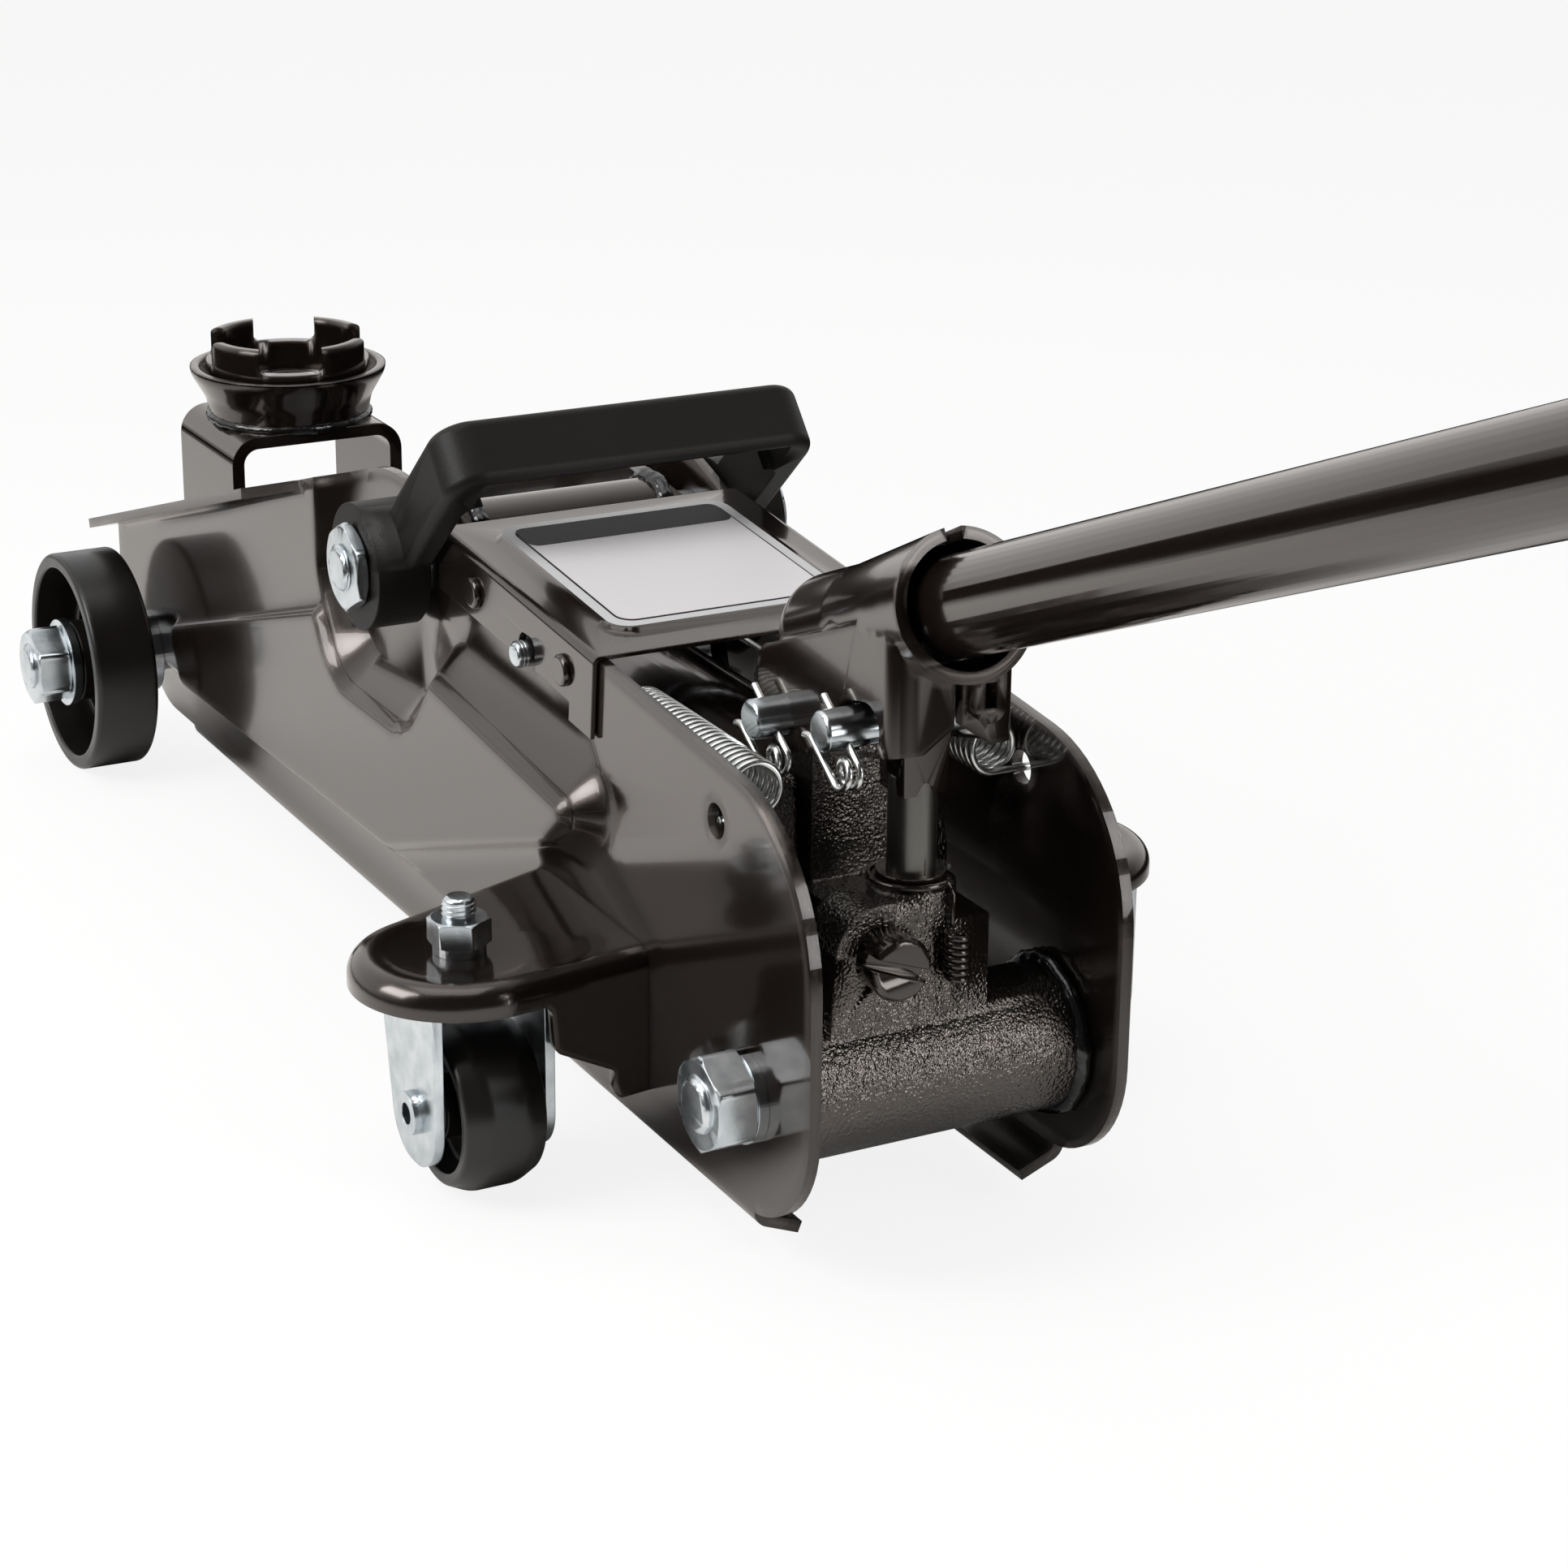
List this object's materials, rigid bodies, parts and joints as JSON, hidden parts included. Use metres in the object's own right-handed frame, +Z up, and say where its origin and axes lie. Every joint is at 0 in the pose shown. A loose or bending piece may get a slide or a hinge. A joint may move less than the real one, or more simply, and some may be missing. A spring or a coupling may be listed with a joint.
{
  "type": "hydraulic trolley jack",
  "caption": "Low rolling floor jack: pressed side plates carry a pivoting lift arm with a cup saddle, hydraulic ram, pump lever handle, swivel casters and a folding carry handle.",
  "frame": {"origin": "middle of the whole length and width, on the floor under the wheels", "axes": "+X forward from the handle to the saddle, +Y to the left, +Z up"},
  "size_m": [0.8162, 0.226, 0.3149],
  "materials": {
    "black_enamel": "gloss black enamel",
    "black_casting": "rough casting, painted black",
    "zinc_plate": "clear zinc plate",
    "black_plastic": "moulded black nylon",
    "bright_steel": "ground steel",
    "spring_wire": "plated spring wire",
    "seal_rubber": "moulded seal"
  },
  "bodies": {
    "chassis": {"left_side_plate": "black_enamel", "right_side_plate": "black_enamel", "rear_cross_bolt": "zinc_plate", "rear_spring_washers": "zinc_plate", "rear_nuts": "zinc_plate", "front_axle": "zinc_plate", "front_axle_spacers": "zinc_plate", "front_washers": "zinc_plate", "front_nuts": "zinc_plate", "arm_pivot_shaft": "zinc_plate", "pivot_nuts": "zinc_plate", "link_studs": "zinc_plate", "pump_body": "black_casting", "pump_gland": "zinc_plate", "ram_cylinder": "bright_steel", "oil_tank": "black_enamel", "cylinder_end_cap": "black_enamel", "top_cover": "black_enamel", "cover_screws": "zinc_plate", "cross_stud": "black_enamel", "left_caster_bracket": "black_enamel", "right_caster_bracket": "black_enamel", "caster_kingpins": "zinc_plate", "caster_spring_washers": "zinc_plate", "caster_nuts": "zinc_plate", "left_return_spring": "spring_wire", "right_return_spring": "spring_wire"},
    "lift_arm": {"left_arm_plate": "black_enamel", "right_arm_plate": "black_enamel", "arm_pivot_tube": "black_enamel", "crank_bar": "zinc_plate", "saddle_pin": "zinc_plate", "saddle_pin_clip": "zinc_plate"},
    "saddle_bracket": {"saddle_bracket": "black_enamel", "saddle_cup": "black_enamel", "link_pin": "zinc_plate"},
    "saddle": {"saddle": "black_enamel"},
    "level_links": {"left_level_link": "black_enamel", "right_level_link": "black_enamel"},
    "ram": {"ram_rod": "bright_steel", "ram_seal": "seal_rubber"},
    "pump_lever": {"handle_socket": "black_enamel", "clevis_pin": "zinc_plate", "clevis_pin_clip": "spring_wire"},
    "plunger": {"pump_plunger": "bright_steel", "plunger_pin": "zinc_plate", "plunger_pin_clip": "spring_wire"},
    "handle": {"handle_tube": "black_enamel", "handle_end_cap": "black_plastic"},
    "release_valve": {"release_valve": "black_enamel"},
    "carry_handle": {"carry_handle": "black_plastic"},
    "left_front_wheel": {"left_front_wheel": "black_plastic"},
    "right_front_wheel": {"right_front_wheel": "black_plastic"},
    "left_caster": {"left_caster_fork": "zinc_plate", "left_caster_rivet": "zinc_plate"},
    "right_caster": {"right_caster_fork": "zinc_plate", "right_caster_rivet": "zinc_plate"},
    "left_caster_wheel": {"left_caster_wheel": "black_plastic"},
    "right_caster_wheel": {"right_caster_wheel": "black_plastic"}
  },
  "joints": [
    {"name": "lift_arm_pivot", "type": "hinge", "parent": "chassis", "child": "lift_arm", "pos_m": [0.16294, 0, 0.122], "axis": [0, -1, 0], "range_deg": [0, 54.8], "deforming": ["left_return_spring", "right_return_spring"]},
    {"name": "saddle_level", "type": "hinge", "parent": "lift_arm", "child": "saddle_bracket", "pos_m": [0.37494, 0, 0.071], "axis": [0, -1, 0], "range_deg": [-54.9, 0]},
    {"name": "saddle_swivel", "type": "hinge", "parent": "saddle_bracket", "child": "saddle", "pos_m": [0.37494, 0, 0.1085], "axis": [0, 0, 1], "continuous": true},
    {"name": "level_link_swing", "type": "hinge", "parent": "chassis", "child": "level_links", "pos_m": [0.17494, 0, 0.1], "axis": [0, -1, 0], "range_deg": [0, 54.9]},
    {"name": "ram_slide", "type": "slide", "parent": "chassis", "child": "ram", "axis": [1, 0, 0], "range_m": [0, 0.04152]},
    {"name": "pump_lever_pivot", "type": "hinge", "parent": "chassis", "child": "pump_lever", "pos_m": [-0.00006, 0, 0.123], "axis": [0, 1, 0], "range_deg": [-14, 18]},
    {"name": "plunger_stroke", "type": "slide", "parent": "chassis", "child": "plunger", "axis": [0, 0, 1], "range_m": [-0.00943, 0.0121]},
    {"name": "handle_slide", "type": "slide", "parent": "pump_lever", "child": "handle", "axis": [-0.9272, 0, 0.3746], "range_m": [0, 0.04]},
    {"name": "release_valve_turn", "type": "hinge", "parent": "chassis", "child": "release_valve", "pos_m": [-0.04606, 0.013, 0.076], "axis": [-1, 0, 0], "range_deg": [0, 360]},
    {"name": "carry_handle_swing", "type": "hinge", "parent": "chassis", "child": "carry_handle", "pos_m": [0.16294, 0, 0.122], "axis": [0, 1, 0], "range_deg": [0, 62]},
    {"name": "left_front_wheel_spin", "type": "hinge", "parent": "chassis", "child": "left_front_wheel", "pos_m": [0.37294, 0.061, 0.0352], "axis": [0, 1, 0], "continuous": true},
    {"name": "left_caster_swivel", "type": "hinge", "parent": "chassis", "child": "left_caster", "pos_m": [0.03994, 0.085, 0.06], "axis": [0, 0, 1], "continuous": true},
    {"name": "left_caster_wheel_spin", "type": "hinge", "parent": "left_caster", "child": "left_caster_wheel", "pos_m": [0.03194, 0.085, 0.0222], "axis": [0, 1, 0], "continuous": true},
    {"name": "right_front_wheel_spin", "type": "hinge", "parent": "chassis", "child": "right_front_wheel", "pos_m": [0.37294, -0.061, 0.0352], "axis": [0, 1, 0], "continuous": true},
    {"name": "right_caster_swivel", "type": "hinge", "parent": "chassis", "child": "right_caster", "pos_m": [0.03994, -0.085, 0.06], "axis": [0, 0, 1], "continuous": true},
    {"name": "right_caster_wheel_spin", "type": "hinge", "parent": "right_caster", "child": "right_caster_wheel", "pos_m": [0.03194, -0.085, 0.0222], "axis": [0, 1, 0], "continuous": true}
  ],
  "couplings": [
    {"joint": "saddle_level", "follows": "lift_arm_pivot", "ratio": -1},
    {"joint": "level_link_swing", "follows": "lift_arm_pivot", "ratio": 1},
    {"joint": "ram_slide", "follows": "lift_arm_pivot", "m_per_rad": 0.043302},
    {"joint": "plunger_stroke", "follows": "pump_lever_pivot", "m_per_rad": 0.0382}
  ]
}
